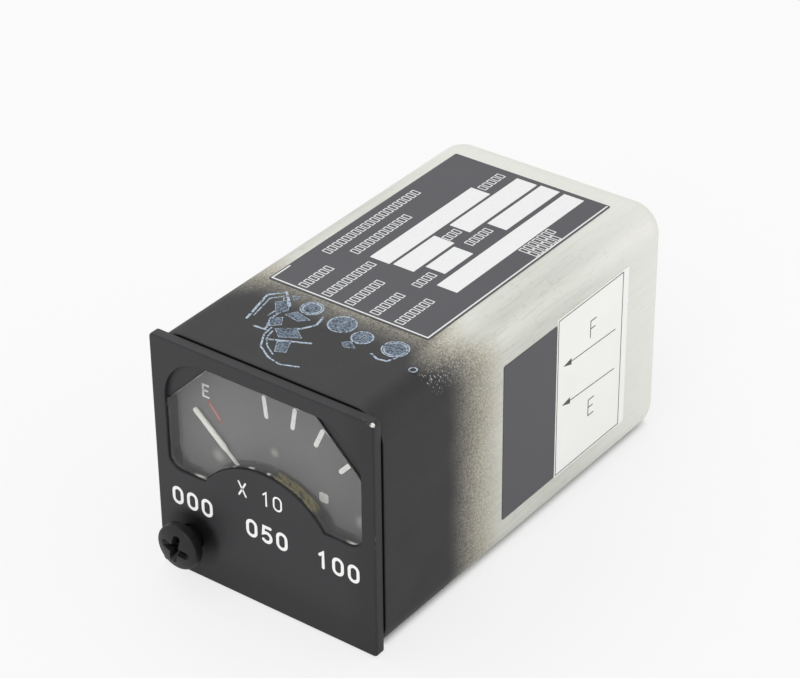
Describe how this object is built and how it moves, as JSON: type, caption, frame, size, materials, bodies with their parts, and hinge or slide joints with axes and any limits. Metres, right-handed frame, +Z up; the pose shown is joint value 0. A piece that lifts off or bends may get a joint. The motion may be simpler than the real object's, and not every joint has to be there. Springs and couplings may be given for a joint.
{
  "type": "fuel gauge",
  "caption": "Square panel fuel gauge in a deep metal can, with a notched window, a pointer, a captive screw and a rear connector.",
  "frame": {"origin": "under the middle of the whole instrument, on the flat side of the can that it lies on", "axes": "+X to the right of the dial, +Y from the dial back into the can, +Z up"},
  "size_m": [0.0361, 0.0811, 0.0361],
  "materials": {
    "black_paint": "satin",
    "clear_lens": "polished",
    "black_plastic": "matte",
    "dial_grey": "matte",
    "steel": "bright",
    "rubber": "matte",
    "brass": "machined",
    "soft_iron": "ground",
    "magnet": "ground",
    "pointer_white": "matte",
    "aluminium": "satin",
    "copper": "enamelled",
    "board_green": "satin",
    "trimmer_blue": "moulded",
    "contact_gold": "plated",
    "component_black": "moulded",
    "capacitor_blue": "sleeved",
    "resistor_tan": "lacquered",
    "wire_red": "insulated",
    "wire_yellow": "insulated",
    "can_metal": "dull, front end painted black",
    "label_black": "foil",
    "label_white": "film",
    "screw_black": "black oxide",
    "spring_steel": "tempered",
    "connector_olive": "plated",
    "insert_grey": "moulded"
  },
  "bodies": {
    "gauge": {"bezel": "black_paint", "window_lens": "clear_lens", "lens_spacer": "black_plastic", "dial_plate": "dial_grey", "dial_screw": "steel", "case_gasket": "rubber", "front_bridge": "brass", "bridge_posts": "brass", "bridge_screws": "steel", "front_jewel_screw": "steel", "front_jewel_nut": "brass", "rear_bridge": "brass", "rear_jewel_screw": "steel", "rear_jewel_nut": "brass", "movement_screws": "steel", "yoke_ring": "soft_iron", "core_magnet": "magnet", "core_blocks": "brass", "rear_spring_anchor": "brass", "pointer_stops": "black_plastic", "rear_hairspring": "brass", "chassis_plate": "aluminium", "front_posts": "brass", "rear_posts": "brass", "main_board": "board_green", "board_brackets": "aluminium", "board_screws": "steel", "full_trimmer_housing": "trimmer_blue", "empty_trimmer_housing": "trimmer_blue", "amplifier_chip": "component_black", "regulator": "component_black", "capacitors": "capacitor_blue", "resistors": "resistor_tan", "diodes": "component_black", "wiring": "wire_red", "coil_leads": "wire_yellow", "case_can": "can_metal", "case_screws": "steel", "data_label": "label_black", "calibration_label": "label_white", "seal_label": "label_black", "guide_tube": "aluminium", "connector_shell": "connector_olive", "connector_insert": "insert_grey", "connector_pins": "contact_gold", "connector_gasket": "rubber", "connector_screws": "steel", "connector_nuts": "steel"},
    "movement": {"pointer": "pointer_white", "staffs": "steel", "coil_former": "aluminium", "coil_winding": "copper", "balance_weights": "brass"},
    "zero_adjuster": {"zero_lever": "brass", "front_hairspring": "brass"},
    "full_adjuster": {"full_trimmer_screw": "contact_gold"},
    "empty_adjuster": {"empty_trimmer_screw": "contact_gold"},
    "screw_keeper": {"retaining_ring": "spring_steel"},
    "captive_screw": {"mounting_screw": "screw_black"}
  },
  "joints": [
    {"name": "pointer_swing", "type": "hinge", "parent": "gauge", "child": "movement", "pos_m": [0, -0.02558, 0.0128], "axis": [0, 1, 0], "range_deg": [0, 94], "stiffness_Nm_per_rad": 0.00001, "springref_deg": -5.73, "deforming": ["rear_hairspring"]},
    {"name": "zero_turn", "type": "hinge", "parent": "gauge", "child": "zero_adjuster", "pos_m": [0, -0.03338, 0.0128], "axis": [0, 1, 0], "range_deg": [-10, 10]},
    {"name": "full_trimmer_turn", "type": "hinge", "parent": "gauge", "child": "full_adjuster", "pos_m": [0.015, -0.00387, 0.02285], "axis": [1, 0, 0], "continuous": true},
    {"name": "empty_trimmer_turn", "type": "hinge", "parent": "gauge", "child": "empty_adjuster", "pos_m": [0.015, -0.00387, 0.01675], "axis": [1, 0, 0], "continuous": true},
    {"name": "screw_slide", "type": "slide", "parent": "gauge", "child": "screw_keeper", "axis": [0, 1, 0], "range_m": [-0.00195, 0.00165]},
    {"name": "screw_turn", "type": "hinge", "parent": "screw_keeper", "child": "captive_screw", "pos_m": [-0.01235, -0.03687, 0.00625], "axis": [0, 1, 0], "continuous": true}
  ]
}
